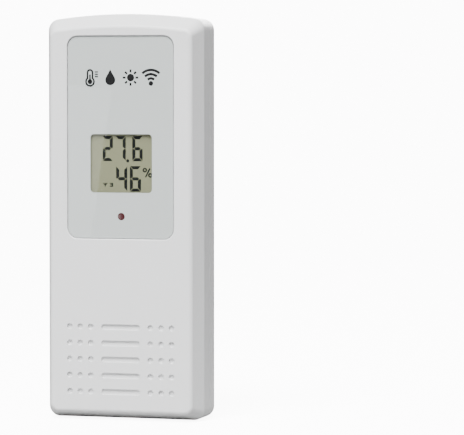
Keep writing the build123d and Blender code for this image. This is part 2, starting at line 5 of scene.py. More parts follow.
import bmesh
import bpy
from mathutils import Matrix, Vector


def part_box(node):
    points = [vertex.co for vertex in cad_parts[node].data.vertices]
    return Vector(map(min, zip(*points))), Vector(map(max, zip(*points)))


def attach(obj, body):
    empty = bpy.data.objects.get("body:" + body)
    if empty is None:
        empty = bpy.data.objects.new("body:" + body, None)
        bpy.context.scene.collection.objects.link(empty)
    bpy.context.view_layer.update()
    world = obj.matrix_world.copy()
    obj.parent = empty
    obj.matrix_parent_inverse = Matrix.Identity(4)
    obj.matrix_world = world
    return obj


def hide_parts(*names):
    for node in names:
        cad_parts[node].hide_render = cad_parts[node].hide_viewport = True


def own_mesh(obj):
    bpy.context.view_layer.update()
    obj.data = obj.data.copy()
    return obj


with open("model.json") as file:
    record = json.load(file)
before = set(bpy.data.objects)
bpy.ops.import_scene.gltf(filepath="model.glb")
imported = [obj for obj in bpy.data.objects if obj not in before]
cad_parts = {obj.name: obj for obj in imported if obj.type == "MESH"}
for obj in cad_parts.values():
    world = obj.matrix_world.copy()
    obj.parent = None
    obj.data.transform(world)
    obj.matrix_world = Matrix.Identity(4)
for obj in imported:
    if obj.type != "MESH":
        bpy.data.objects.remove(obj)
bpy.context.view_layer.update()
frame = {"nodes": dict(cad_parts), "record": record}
nodes = frame["nodes"]
mm = 0.001

# ------------------------------------------------------------------ places read from the frame
case_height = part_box("rear_case")[1].z
film_low, film_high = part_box("faceplate_label")
plate_front_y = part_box("faceplate")[0].y
lamp_low, lamp_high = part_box("status_led")
lamp_z = (lamp_low.z + lamp_high.z) / 2
screw_low, screw_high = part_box("door_screw")
screw_z = (screw_low.z + screw_high.z) / 2
slider_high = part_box("channel_slider")[1]

# ------------------------------------------------------------------ driving dimensions
# The film and the display are drawn at the depth that they seem to have through the plate.
film_front_y = plate_front_y + 0.10 * mm
film_thickness = 0.08 * mm
film_shift = 0.2 * mm  # of the film's openings, towards +X
crystal_y = film_front_y + 0.75 * mm
display_centre_z = 82.23 * mm
display_half_width, display_half_height = 10.9 * mm, 10.0 * mm
switch_floor_y = slider_high.y - 0.9 * mm

# ------------------------------------------------------------------ tones and light levels
FILM = (0.505, 0.535, 0.527)
REFLECTOR = (0.215, 0.216, 0.132)
FLOOR_TONE = (0.26, 0.14)  # near the sensor and further out, for light that bounces off it
FLOOR_GLOW = 9.0  # of the floor as the camera sees it
WORLD_LIGHT, WORLD_SEEN = 0.36, 12.0
KEY_WATTS, REAR_WATTS, CARD_WATTS = 139, 80, 2.6


# ------------------------------------------------------------------ camera
def place_camera():
    """A long lens to the front right, a little above, with the sensor in the picture's left half."""
    azimuth, elevation = math.radians(15.87), math.radians(2.7)
    distance, aim_right, aim_down = 961.8 * mm, 32.36 * mm, 0.57 * mm
    back = Vector((math.sin(azimuth) * math.cos(elevation), -math.cos(azimuth) * math.cos(elevation),
                   math.sin(elevation)))
    right = Vector((math.cos(azimuth), math.sin(azimuth), 0))
    up = back.cross(right)
    camera = bpy.data.objects.new("camera", bpy.data.cameras.new("camera"))
    camera.data.sensor_width = 36
    camera.data.lens = 230.9
    camera.data.clip_start = 0.01
    spot = Vector((0, 0, case_height / 2)) + right * aim_right - up * aim_down + back * distance
    turn = Matrix((right, up, back)).transposed().to_4x4()
    camera.matrix_world = Matrix.Translation(spot) @ turn
    bpy.context.scene.collection.objects.link(camera)
    bpy.context.scene.camera = camera


# ------------------------------------------------------------------ materials
def new_material(name, color, roughness, **sockets):
    """A Principled material with its constant values on its own sockets."""
    material = bpy.data.materials.new(name)
    material.use_nodes = True
    shader = material.node_tree.nodes["Principled BSDF"]
    shader.inputs["Base Color"].default_value = (*color, 1)
    shader.inputs["Roughness"].default_value = roughness
    for socket, value in sockets.items():
        shader.inputs[socket.replace("_", " ")].default_value = value
    return material


def add_node(material, kind, **values):
    """A new shader node with the given settings and input values."""
    node = material.node_tree.nodes.new(kind)
    for key, value in values.items():
        if hasattr(node, key):
            setattr(node, key, value)
        else:
            node.inputs[key.replace("_", " ")].default_value = value
    return node


def link(material, source, target):
    """Joins an output to an input."""
    material.node_tree.links.new(source, target)


def shader_of(material):
    """The material's Principled shader."""
    return material.node_tree.nodes["Principled BSDF"]


def object_place(material):
    """Texture coordinates in the piece's own space, in metres, so a pattern travels with its piece."""
    return add_node(material, "ShaderNodeTexCoord").outputs["Object"]


def noise(material, size, detail=2.0, stretch=(1, 1, 1)):
    """Noise whose blobs are about size metres across."""
    scaling = add_node(material, "ShaderNodeMapping")
    scaling.inputs["Scale"].default_value = stretch
    link(material, object_place(material), scaling.inputs["Vector"])
    texture = add_node(material, "ShaderNodeTexNoise", Scale=1 / size, Detail=detail)
    link(material, scaling.outputs[0], texture.inputs["Vector"])
    return texture.outputs["Fac"]


def add_bump(material, height, depth, strength=1.0):
    """A bump of the given depth in metres, on top of any bump already there."""
    bump = add_node(material, "ShaderNodeBump", Distance=depth, Strength=strength)
    link(material, height, bump.inputs["Height"])
    normal = shader_of(material).inputs["Normal"]
    if normal.is_linked:
        link(material, normal.links[0].from_socket, bump.inputs["Normal"])
    link(material, bump.outputs[0], normal)


def vary_color(material, factor, low, high):
    """Base colour that runs from low to high with a factor."""
    ramp = add_node(material, "ShaderNodeValToRGB")
    ramp.color_ramp.elements[0].position, ramp.color_ramp.elements[1].position = 0.3, 0.7
    ramp.color_ramp.elements[0].color, ramp.color_ramp.elements[1].color = (*low, 1), (*high, 1)
    link(material, factor, ramp.inputs[0])
    link(material, ramp.outputs[0], shader_of(material).inputs["Base Color"])


def vary_roughness(material, factor, low, high):
    """Roughness that runs from low to high with a factor."""
    spread = add_node(material, "ShaderNodeMapRange")
    spread.inputs["To Min"].default_value, spread.inputs["To Max"].default_value = low, high
    link(material, factor, spread.inputs["Value"])
    link(material, spread.outputs[0], shader_of(material).inputs["Roughness"])


def moulded_plastic(name, color, roughness, shade=0.02, grain=0.25 * mm, depth=0.006 * mm):
    """Moulded plastic: a fine spark-eroded grain, slow waves in gloss, and faint mottling."""
    material = new_material(name, color, roughness)
    darker = [channel * (1 - shade) for channel in color]
    vary_color(material, noise(material, 14 * mm), darker, color)
    vary_roughness(material, noise(material, 5 * mm), roughness - 0.04, roughness + 0.04)
    add_bump(material, noise(material, grain, 3), depth)
    add_bump(material, noise(material, 22 * mm, 1), 0.05 * mm, 0.5)
    return material


def plated_metal(name, color, roughness, scratch=0.08):
    """Bright plated metal with fine drawn scratches."""
    material = new_material(name, color, roughness, Metallic=1.0)
    streaks = noise(material, 0.5 * mm, 4, (1, 1, 0.12))
    vary_roughness(material, streaks, roughness, roughness + scratch)
    vary_color(material, noise(material, 1.5 * mm), [channel * 0.86 for channel in color], color)
    add_bump(material, streaks, 0.004 * mm)
    return material


def clear_plate(name, tint, roughness, ior):
    """Clear sheet: light passes straight through, and its outer faces mirror by their angle."""
    material = bpy.data.materials.new(name)
    material.use_nodes = True
    tree = material.node_tree
    tree.nodes.remove(tree.nodes["Principled BSDF"])
    through = add_node(material, "ShaderNodeBsdfTransparent", Color=(*tint, 1))
    gloss = add_node(material, "ShaderNodeBsdfAnisotropic", Roughness=roughness)
    fresnel = add_node(material, "ShaderNodeFresnel", IOR=ior)
    bump = add_node(material, "ShaderNodeBump", Distance=0.01 * mm, Strength=0.4)
    link(material, noise(material, 20 * mm, 1), bump.inputs["Height"])
    link(material, bump.outputs[0], gloss.inputs["Normal"])
    outside = add_node(material, "ShaderNodeMath", operation="SUBTRACT")
    outside.inputs[0].default_value = 1
    link(material, add_node(material, "ShaderNodeNewGeometry").outputs["Backfacing"], outside.inputs[1])
    mirrored = add_node(material, "ShaderNodeMath", operation="MULTIPLY")
    link(material, fresnel.outputs[0], mirrored.inputs[0])
    link(material, outside.outputs[0], mirrored.inputs[1])
    mix = add_node(material, "ShaderNodeMixShader")
    link(material, mirrored.outputs[0], mix.inputs[0])
    link(material, through.outputs[0], mix.inputs[1])
    link(material, gloss.outputs[0], mix.inputs[2])
    link(material, mix.outputs[0], tree.nodes["Material Output"].inputs[0])
    return material


def circuit_board(name):
    """Green solder mask with raised tracks under it and a faint weave of the glass cloth."""
    material = new_material(name, (0.012, 0.105, 0.04), 0.3, Coat_Weight=0.4, Coat_Roughness=0.12)
    tracks = add_node(material, "ShaderNodeTexBrick", Scale=1.0)
    tracks.offset = 0.37
    tracks.inputs["Brick Width"].default_value = 5.3 * mm
    tracks.inputs["Row Height"].default_value = 1.27 * mm
    tracks.inputs["Mortar Size"].default_value = 0.16 * mm
    tracks.inputs["Mortar Smooth"].default_value = 0.2
    turned = add_node(material, "ShaderNodeMapping")
    turned.inputs["Rotation"].default_value = (math.radians(90), 0, 0)
    link(material, object_place(material), turned.inputs["Vector"])
    link(material, turned.outputs[0], tracks.inputs["Vector"])
    vary_color(material, tracks.outputs["Fac"], (0.010, 0.085, 0.032), (0.035, 0.21, 0.085))
    add_bump(material, tracks.outputs["Fac"], 0.03 * mm)
    add_bump(material, noise(material, 0.4 * mm), 0.01 * mm)
    return material


def cell_label(name, bands):
    """A cell's lacquered sleeve: colour bands along Z, as (lowest z, colour) from the bottom up."""
    span = 70 * mm
    material = new_material(name, bands[0][1], 0.3, Coat_Weight=0.5, Coat_Roughness=0.06)
    split = add_node(material, "ShaderNodeSeparateXYZ")
    link(material, object_place(material), split.inputs[0])
    along = add_node(material, "ShaderNodeMapRange")
    along.inputs["From Min"].default_value, along.inputs["From Max"].default_value = 0, span
    link(material, split.outputs["Z"], along.inputs["Value"])
    ramp = add_node(material, "ShaderNodeValToRGB")
    ramp.color_ramp.interpolation = "CONSTANT"
    elements = ramp.color_ramp.elements
    elements.remove(elements[1])
    elements[0].color = (*bands[0][1], 1)
    for z, color in bands[1:]:
        elements.new(z / span).color = (*color, 1)
    link(material, along.outputs[0], ramp.inputs[0])
    link(material, ramp.outputs[0], shader_of(material).inputs["Base Color"])
    vary_roughness(material, noise(material, 4 * mm), 0.24, 0.34)
    add_bump(material, noise(material, 9 * mm), 0.03 * mm)
    return material


def make_materials():
    """Every material, by the record's material slot or by a name of its own."""
    navy, white, orange = (0.012, 0.035, 0.11), (0.72, 0.72, 0.70), (0.75, 0.22, 0.02)
    made = {
        "case_plastic": moulded_plastic("case_plastic", (0.80, 0.805, 0.81), 0.40, 0.012),
        "printed_film": moulded_plastic("printed_film", FILM, 0.35, 0.012, 0.5 * mm, 0.001 * mm),
        "clear_plate": clear_plate("clear_plate", (0.985, 0.99, 0.99), 0.02, 1.3),
        "display_glass": clear_plate("display_glass", (0.97, 0.975, 0.96), 0.03, 1.12),
        "display_reflector": moulded_plastic("display_reflector", REFLECTOR, 0.5, 0.05, 0.15 * mm,
                                             0.002 * mm),
        "red_lamp": moulded_plastic("red_lamp", (0.055, 0.004, 0.007), 0.18, 0.25, 0.6 * mm, 0.002 * mm),
        "nickel_screw": plated_metal("nickel_screw", (0.86, 0.85, 0.80), 0.22),
        # Darker olive metal for the screw's cross recess: painted shade in the recess, added to the real
        # shade of its modelled shape.
        "screw_recess": plated_metal("screw_recess", (0.20, 0.20, 0.14), 0.42),
        "tinned_steel": plated_metal("tinned_steel", (0.70, 0.70, 0.70), 0.35),
        "white_nylon": moulded_plastic("white_nylon", (0.78, 0.78, 0.74), 0.5),
        "board_green": circuit_board("board_green"),
        "black_epoxy": moulded_plastic("black_epoxy", (0.012, 0.012, 0.014), 0.3, 0.3),
        "nickel_can": plated_metal("nickel_can", (0.75, 0.75, 0.73), 0.28),
        "black_sleeve": moulded_plastic("black_sleeve", (0.02, 0.02, 0.022), 0.45),
        "red_sleeve": moulded_plastic("red_sleeve", (0.45, 0.015, 0.015), 0.42),
        "grey_sleeve": moulded_plastic("grey_sleeve", (0.32, 0.33, 0.35), 0.45),
        "capacitor_sleeve": moulded_plastic("capacitor_sleeve", (0.015, 0.02, 0.07), 0.3),
        "chip_ceramic": moulded_plastic("chip_ceramic", (0.28, 0.21, 0.13), 0.4, 0.1),
        "black_plastic": moulded_plastic("black_plastic", (0.02, 0.02, 0.02), 0.4, 0.2),
        "grey_plastic": moulded_plastic("grey_plastic", (0.13, 0.135, 0.145), 0.45, 0.1),
        "sensor_cage": moulded_plastic("sensor_cage", (0.55, 0.66, 0.74), 0.45),
        "spring_steel": plated_metal("spring_steel", (0.72, 0.72, 0.69), 0.22),
        "plated_contact": plated_metal("plated_contact", (0.76, 0.75, 0.70), 0.22),
        "segment_ink": moulded_plastic("segment_ink", (0.006, 0.008, 0.007), 0.6, 0.2, 0.2 * mm, 0.001 * mm),
        "print_ink": moulded_plastic("print_ink", (0.010, 0.010, 0.011), 0.45, 0.2, 0.2 * mm, 0.001 * mm),
        "mark_grey": moulded_plastic("mark_grey", (0.20, 0.21, 0.22), 0.5),
        "cell_can": plated_metal("cell_can", (0.72, 0.72, 0.72), 0.25),
        "cell_ring": moulded_plastic("cell_ring", (0.03, 0.03, 0.032), 0.4, 0.2),
        "label_white": moulded_plastic("label_white", white, 0.35, 0.03, 0.3 * mm, 0.001 * mm),
        "label_nub_up": cell_label("label_nub_up", [(0, navy), (49 * mm, orange), (50 * mm, white),
                                                    (51 * mm, navy)]),
        "label_nub_down": cell_label("label_nub_down", [(0, navy), (17.6 * mm, white), (18.6 * mm, orange),
                                                        (19.6 * mm, navy)]),
    }
    for ink in ("segment_ink", "print_ink"):
        shader_of(made[ink]).inputs["Specular IOR Level"].default_value = 0.1
    rubber = new_material("strip_rubber", (0.2, 0.22, 0.28), 0.6)
    wave = add_node(rubber, "ShaderNodeTexWave", Scale=1 / (1.6 * mm))
    link(rubber, object_place(rubber), wave.inputs["Vector"])
    vary_color(rubber, wave.outputs["Fac"], (0.02, 0.02, 0.02), (0.55, 0.35, 0.38))
    add_bump(rubber, wave.outputs["Fac"], 0.02 * mm)
    made["strip_rubber"] = rubber
    return made


def paint_cad(made):
    """Gives every CAD node the material of its slot, and the rear glass the tone behind it."""
    slot_of = {part["node"]: part["material_slot"] for part in frame["record"]["subparts"]}
    for name, node in nodes.items():
        if slot_of[name] in made:
            node.data.materials.clear()
            node.data.materials.append(made[slot_of[name]])
    rear_glass = nodes["lcd_rear_glass"].data
    rear_glass.materials.clear()
    rear_glass.materials.append(made["display_reflector"])


# ------------------------------------------------------------------ mesh helpers
def add_piece(name, mesh_maker, material, body, smooth=False):
    """A new piece from a function that fills a bmesh, riding on a body. Material may be a list."""
    work = bmesh.new()
    mesh_maker(work)
    bmesh.ops.recalc_face_normals(work, faces=work.faces)
    for face in work.faces:
        face.smooth = smooth
    mesh = bpy.data.meshes.new(name)
    work.to_mesh(mesh)
    work.free()
    if smooth:
        mesh.set_sharp_from_angle(angle=math.radians(35))
    for each in material if isinstance(material, list) else [material]:
        mesh.materials.append(each)
    piece = bpy.data.objects.new(name, mesh)
    bpy.context.scene.collection.objects.link(piece)
    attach(piece, body)
    return piece


def add_rings(work, rings, materials=None):
    """Faces between rings of points. A ring of one point closes that end."""
    made_rings = [[work.verts.new(point) for point in ring] for ring in rings]
    for place, (one, two) in enumerate(zip(made_rings, made_rings[1:])):
        count = max(len(one), len(two))
        for i in range(count):
            j = (i + 1) % count
            corners = [one[i % len(one)], one[j % len(one)], two[j % len(two)], two[i % len(two)]]
            face = work.faces.new(list(dict.fromkeys(corners)))
            face.material_index = materials[place] if materials else 0


def add_tube(work, line, radius, sides=10):
    """A round tube along a line of points, with closed ends."""
    rings = [[line[0]]]
    side = (line[1] - line[0]).orthogonal().normalized()
    for i, point in enumerate(line):
        way = (line[min(i + 1, len(line) - 1)] - line[max(i - 1, 0)]).normalized()
        side = (side - way * side.dot(way)).normalized()
        other = way.cross(side)
        turns = [2 * math.pi * k / sides for k in range(sides)]
        rings.append([point + radius * (side * math.cos(t) + other * math.sin(t)) for t in turns])
    rings.append([line[-1]])
    add_rings(work, rings)


def add_prism(work, outline, y_back, y_front):
    """A flat shape from (x, z) points, given thickness along Y."""
    back = [work.verts.new((x, y_back, z)) for x, z in outline]
    front = [work.verts.new((x, y_front, z)) for x, z in outline]
    work.faces.new(back)
    work.faces.new(front[::-1])
    for i in range(len(outline)):
        j = (i + 1) % len(outline)
        work.faces.new((back[j], back[i], front[i], front[j]))


def add_stroke(work, points, thickness, y_back, y_front, closed=False):
    """A line of even thickness through (x, z) points, as thin prisms joined round its corners."""
    points = [Vector(p) for p in points]
    count = len(points)
    last = count if closed else count - 1
    half = thickness / 2
    left, right = [], []
    for i in range(count):
        before = points[i - 1] if closed or i else None
        after = points[(i + 1) % count] if closed or i < count - 1 else None
        ways = [(points[i] - before).normalized()] if before is not None else []
        ways += [(after - points[i]).normalized()] if after is not None else []
        way = sum(ways, Vector((0, 0))).normalized()
        side = Vector((-way.y, way.x))
        stretch = half / max(0.3, abs(side.dot(Vector((-ways[0].y, ways[0].x)))))
        left.append(points[i] + side * stretch)
        right.append(points[i] - side * stretch)
    rings = []
    for a, b in zip(left, right):
        rings.append([work.verts.new((a.x, y_back, a.y)), work.verts.new((b.x, y_back, b.y)),
                      work.verts.new((b.x, y_front, b.y)), work.verts.new((a.x, y_front, a.y))])
    for i in range(last):
        one, two = rings[i], rings[(i + 1) % count]
        for k in range(4):
            work.faces.new((one[k], one[(k + 1) % 4], two[(k + 1) % 4], two[k]))
    if not closed:
        work.faces.new(rings[0])
        work.faces.new(rings[-1][::-1])


def arc(centre, radius, start, end, steps):
    """Points on an arc, angles in degrees from +X towards +Z."""
    turns = [math.radians(start + (end - start) * i / steps) for i in range(steps + 1)]
    return [(centre[0] + radius * math.cos(t), centre[1] + radius * math.sin(t)) for t in turns]


# ------------------------------------------------------------------ display
SEGMENTS = {"2": "abged", "7": "abc", "6": "afgedc", "4": "fgbc"}


def digit_shapes(width, height, thick):
    """The seven segments of a figure whose lower left corner is at (0, 0)."""
    w, h, t, mid = width, height, thick, height / 2
    gap = 0.1 * mm
    across = [(gap, h), (w - gap, h), (w - gap - 0.9 * t, h - t), (gap + 0.9 * t, h - t)]
    upright = [(w, h - 2 * gap), (w, mid + gap), (w - 0.45 * t, mid + gap), (w - t, mid + 0.5 * t + gap),
               (w - t, h - t - 2 * gap)]
    lower = [(x, h - z) for x, z in upright]
    middle = [(0.5 * t + gap, mid), (t + gap / 2, mid + t / 2), (w - t - gap / 2, mid + t / 2),
              (w - 0.5 * t - gap, mid), (w - t - gap / 2, mid - t / 2), (t + gap / 2, mid - t / 2)]
    return {
        "a": across, "b": upright, "c": lower, "g": middle,
        "d": [(x, h - z) for x, z in across],
        "e": [(w - x, z) for x, z in lower],
        "f": [(w - x, z) for x, z in upright],
    }


def make_display(made):
    """The display's front sheet, reflector, figures and signs, and the lamp's lens below them."""
    low_z, high_z = display_centre_z - display_half_height, display_centre_z + display_half_height
    corners = [(-display_half_width, low_z), (display_half_width, low_z),
               (display_half_width, high_z), (-display_half_width, high_z)]

    def front(work):
        work.faces.new([work.verts.new((x, crystal_y - 0.06 * mm, z)) for x, z in corners])
    sheet = add_piece("display_front_sheet", front, made["display_glass"], "housing")
    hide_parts("lcd_front_glass")

    def back(work):
        add_prism(work, corners, crystal_y + 0.12 * mm, crystal_y + 0.02 * mm)
    sheet = add_piece("display_back_sheet", back, made["display_reflector"], "housing")
    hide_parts("lcd_reflector")

    y_back, y_front = crystal_y + 0.016 * mm, crystal_y + 0.004 * mm
    aside = 0.72 * mm
    segment_thickness = 1.0 * mm
    rows = [
        ("temperature", display_centre_z + 0.72 * mm, 3.4 * mm, 8.0 * mm,
         (("2", -6.95), ("7", -2.62), ("6", 3.0))),
        ("humidity", display_centre_z - 8.98 * mm, 3.7 * mm, 8.15 * mm, (("4", -2.42), ("6", 2.16))),
    ]
    for row, foot, figure_width, figure_height, figures in rows:
        shapes = digit_shapes(figure_width, figure_height, segment_thickness)
        for place, (figure, x) in enumerate(figures):
            def fill(work, figure=figure, x=x, foot=foot, shapes=shapes):
                for segment in SEGMENTS[figure]:
                    outline = [(aside + x * mm + px, foot + pz) for px, pz in shapes[segment]]
                    add_prism(work, outline, y_back, y_front)
            add_piece(f"{row}_figure_{place + 1}", fill, made["segment_ink"], "housing")

    def lens(work):
        back = film_front_y + 0.07 * mm
        rings = [[(film_shift + radius * mm * math.cos(math.radians(9 * i)), back - rise * mm,
                   lamp_z + radius * mm * math.sin(math.radians(9 * i))) for i in range(40)]
                 for radius, rise in ((1.17, 0), (1.16, 0.06), (0.9, 0.085), (0.45, 0.1))]
        rings.append([(film_shift, back - 0.105 * mm, lamp_z)])
        add_rings(work, rings)
    add_piece("lamp_lens", lens, made["red_lamp"], "housing", smooth=True)

    def point(work):
        centre = (aside + 1.45 * mm, display_centre_z + 0.82 * mm)
        add_prism(work, arc(centre, 0.5 * mm, 0, 345, 23), y_back, y_front)
    add_piece("decimal_point", point, made["segment_ink"], "housing")

    def percent(work):
        line = 0.46 * mm
        upper = (aside + 7.18 * mm, display_centre_z - 2.1 * mm)
        lower = (aside + 9.0 * mm, display_centre_z - 3.74 * mm)
        for centre in (upper, lower):
            add_stroke(work, arc(centre, 0.52 * mm, 0, 345, 23), line, y_back, y_front, closed=True)
        slash = [(upper[0] + 0.2 * mm, display_centre_z - 4.4 * mm),
                 (upper[0] + 1.68 * mm, display_centre_z - 1.54 * mm)]
        add_stroke(work, slash, line, y_back, y_front)
    add_piece("percent_sign", percent, made["segment_ink"], "housing")

    def channel(work):
        line, foot, height = 0.30 * mm, display_centre_z - 7.5 * mm, 1.25 * mm
        x = aside - 6.1 * mm
        add_stroke(work, [(x, foot), (x, foot + height)], line, y_back, y_front)
        for end in (-1, 1):
            arm = [(x + end * 0.12 * mm, foot + 0.45 * height), (x + end * 0.7 * mm, foot + height)]
            add_stroke(work, arm, line, y_back, y_front)
        for path in ([(0, 1), (1, 1), (1, 0), (0, 0)], [(0.2, 0.5), (0.9, 0.5)]):
            points = [(x + (1.5 + across) * mm, foot + line / 2 + along * (height - line))
                      for across, along in path]
            add_stroke(work, points, line, y_back, y_front)
    add_piece("channel_mark", channel, made["segment_ink"], "housing")


# ------------------------------------------------------------------ print on the panel
def rounded_box(low, high, corner, steps=8):
    """Points round a rectangle with round corners, between two (x, z) corners."""
    points = []
    for x, z, start in ((high[0] - corner, high[1] - corner, 0), (low[0] + corner, high[1] - corner, 90),
                        (low[0] + corner, low[1] + corner, 180), (high[0] - corner, low[1] + corner, 270)):
        points += arc((x, z), corner, start, start + 90, steps)
    return points


def make_film(made):
    """The panel's printed film, close behind the plate's front, as deep as it looks through the plate."""
    inset, corner = 0.12 * mm, 3.2 * mm
    window_half_width, window_half_height, window_corner = 10.3 * mm, 9.34 * mm, 1.2 * mm
    lamp_hole = 1.2 * mm
    outer = rounded_box((film_low.x + inset, film_low.z + inset),
                        (film_high.x - inset, film_high.z - inset), corner)
    window = rounded_box((film_shift - window_half_width, display_centre_z - window_half_height),
                         (film_shift + window_half_width, display_centre_z + window_half_height),
                         window_corner)
    lamp = arc((film_shift, lamp_z), lamp_hole, 0, 351, 39)

    def fill(work):
        for y in (film_front_y, film_front_y + film_thickness):
            edges = []
            for loop in (outer, window, lamp):
                corners = [work.verts.new((x, y, z)) for x, z in loop]
                edges += [work.edges.new((a, b)) for a, b in zip(corners, corners[1:] + corners[:1])]
            bmesh.ops.triangle_fill(work, edges=edges, use_beauty=True, use_dissolve=False)
    film = add_piece("panel_film", fill, made["printed_film"], "housing")
    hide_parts("faceplate_label")


def make_print(made):
    """Generic pictograms on the panel's film: a thermometer, a drop, a sun and radio waves."""
    y_back, y_front = film_front_y - 0.002 * mm, film_front_y - 0.022 * mm
    centre_z = case_height - 20.4 * mm

    def thermometer(work):
        x, top, bulb = -10.2 * mm, centre_z + 1.6 * mm, centre_z - 1.3 * mm
        outline = arc((x, top), 0.85 * mm, 0, 180, 12) + arc((x, bulb), 1.35 * mm, 129, 411, 30)
        add_stroke(work, outline, 0.58 * mm, y_back, y_front, closed=True)
        add_prism(work, arc((x, bulb), 0.78 * mm, 0, 345, 23), y_back, y_front)
        add_stroke(work, [(x, bulb), (x, centre_z + 1.0 * mm)], 0.56 * mm, y_back, y_front)
        for step in range(3):
            z = centre_z + (0.3 + 0.75 * step) * mm
            add_stroke(work, [(x + 1.6 * mm, z), (x + 2.7 * mm, z)], 0.42 * mm, y_back, y_front)

    def drop(work):
        x, bowl = -3.4 * mm, centre_z - 0.75 * mm
        add_prism(work, arc((x, bowl), 1.65 * mm, 148, 392, 30) + [(x, centre_z + 2.6 * mm)], y_back, y_front)

    def sun(work):
        x = 3.4 * mm
        add_prism(work, arc((x, centre_z), 1.2 * mm, 0, 345, 23), y_back, y_front)
        for ray in range(8):
            turn = math.radians(45 * ray)
            way = Vector((math.cos(turn), math.sin(turn)))
            ends = [Vector((x, centre_z)) + way * reach * mm for reach in (1.65, 2.6)]
            add_stroke(work, ends, 0.62 * mm, y_back, y_front)

    def waves(work):
        x, z = 10.2 * mm, centre_z - 1.85 * mm
        add_prism(work, arc((x, z), 0.75 * mm, 0, 345, 23), y_back, y_front)
        for radius in (1.6, 2.95, 4.3):
            add_stroke(work, arc((x, z), radius * mm, 48, 132, 18), 0.78 * mm, y_back, y_front)

    for name, fill in (("print_thermometer", thermometer), ("print_drop", drop), ("print_sun", sun),
                       ("print_waves", waves)):
        add_piece(name, fill, made["print_ink"], "housing")


# ------------------------------------------------------------------ screw, springs and cells
def make_screw(made):
    """The door's screw: a domed head with a tapering cross recess, and a cut thread down to its point."""
    head_top, head_radius, head_height = screw_high.y, 1.85 * mm, 1.2 * mm
    shank_end = screw_low.y
    steps = 96
    flat_share, rim_drop = 0.62, 0.5 * mm
    slot_reach, slot_half_width, slot_depth = 1.18 * mm, 0.29 * mm, 0.72 * mm
    slot_flare, flare_length, wall_slope = 0.05 * mm, 1.2 * mm, 5.0
    centre_reach, centre_slope = 0.62 * mm, 0.8

    def head_drop(radius, turn):
        """How far the head's surface lies below its highest point."""
        edge = max(0.0, radius / head_radius - flat_share) / (1 - flat_share)
        rim = rim_drop * (1 - math.sqrt(max(0.0, 1 - edge * edge)))
        across, along = sorted((abs(radius * math.cos(turn)), abs(radius * math.sin(turn))))
        reach = slot_reach - along
        wall = slot_half_width + slot_flare * (1 - along / flare_length) - across
        round_corner = centre_reach - (along + across)
        inside = max(min(wall, reach), centre_slope * round_corner)
        return rim + max(0.0, min(slot_depth, inside * wall_slope))

    def head(work):
        whole_turn = [2 * math.pi * i / steps for i in range(steps)]
        rows, chamfer = 44, 0.1 * mm
        recess_radius, recess_top, recess_floor = 1.3 * mm, head_top - 0.06 * mm, head_top - 0.9 * mm
        rings = []
        for k in range(rows + 1):
            radius = head_radius * k / rows
            rings.append([(radius * math.cos(t), head_top - head_drop(radius, t),
                           screw_z + radius * math.sin(t)) for t in (whole_turn if k else [0.0])])
        for radius, y in ((head_radius, head_top - head_height + chamfer),
                          (head_radius - chamfer, head_top - head_height)):
            rings.append([(radius * math.cos(t), y, screw_z + radius * math.sin(t))
                          for t in whole_turn])
        rings.append([(0, head_top - head_height, screw_z)])
        add_rings(work, rings)
        # Faces inside the cross recess take the darker second material, as painted shade in the recess.
        for face in work.faces:
            middle = face.calc_center_median()
            radius = math.hypot(middle.x, middle.z - screw_z)
            if radius < recess_radius and recess_floor < middle.y < recess_top:
                face.material_index = 1

    def shank(work):
        start = head_top - head_height + 0.02 * mm
        length = start - shank_end
        rows, sides = 150, 24
        core_radius, point_length, pitch = 0.8 * mm, 1.3 * mm, 0.8 * mm
        crest_height, largest_radius = 0.26 * mm, 1.0 * mm
        thread_start, thread_end = 0.6 * mm, length - 0.4 * mm
        rings = []
        for k in range(rows + 1):
            down = length * k / rows
            core = core_radius * min(1.0, max(0.05, (length - down) / point_length))
            ring = []
            for i in range(sides):
                turn = 2 * math.pi * i / sides
                phase = (down / pitch - i / sides) % 1
                crest = max(0.0, 1 - abs(phase - 0.5) * 4.5) if thread_start < down < thread_end else 0.0
                radius = min(largest_radius, core + crest_height * crest)
                ring.append((radius * math.cos(turn), start - down, screw_z + radius * math.sin(turn)))
            rings.append(ring)
        rings.append([(0, shank_end, screw_z)])
        add_rings(work, rings)

    piece = add_piece("door_screw_head", head, [made["nickel_screw"], made["screw_recess"]], "screw",
                      smooth=True)
    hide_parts("door_screw")
    add_piece("door_screw_thread", shank, made["nickel_screw"], "screw", smooth=True)


def make_spring(made, node, upward):
    """A conical battery spring, wound from one wire: a flat coil at its base and open turns above."""
    low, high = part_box(node)
    centre_x, centre_y = (low.x + high.x) / 2, 2.75 * mm
    base, tip = (low.z, high.z) if upward else (high.z, low.z)
    way = 1 if upward else -1
    wire = 0.32 * mm
    rise = abs(tip - base) - 2 * wire
    turns, steps, base_radius, taper = 4.6, 240, 4.75, 1.9
    flat_share, rising_share = 0.2, 0.62

    def fill(work):
        line = []
        for k in range(steps + 1):
            share = k / steps
            turn = 2 * math.pi * turns * share
            lift = min(1.0, max(0.0, (share - flat_share) / rising_share))
            radius = (base_radius - taper * lift) * mm
            line.append(Vector((centre_x + radius * math.cos(turn), centre_y + radius * math.sin(turn),
                                base + way * (wire + rise * lift))))
        add_tube(work, line, wire)
    piece = add_piece(node + "_coil", fill, made["spring_steel"], "housing", smooth=True)
    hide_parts(node)
    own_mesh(piece)


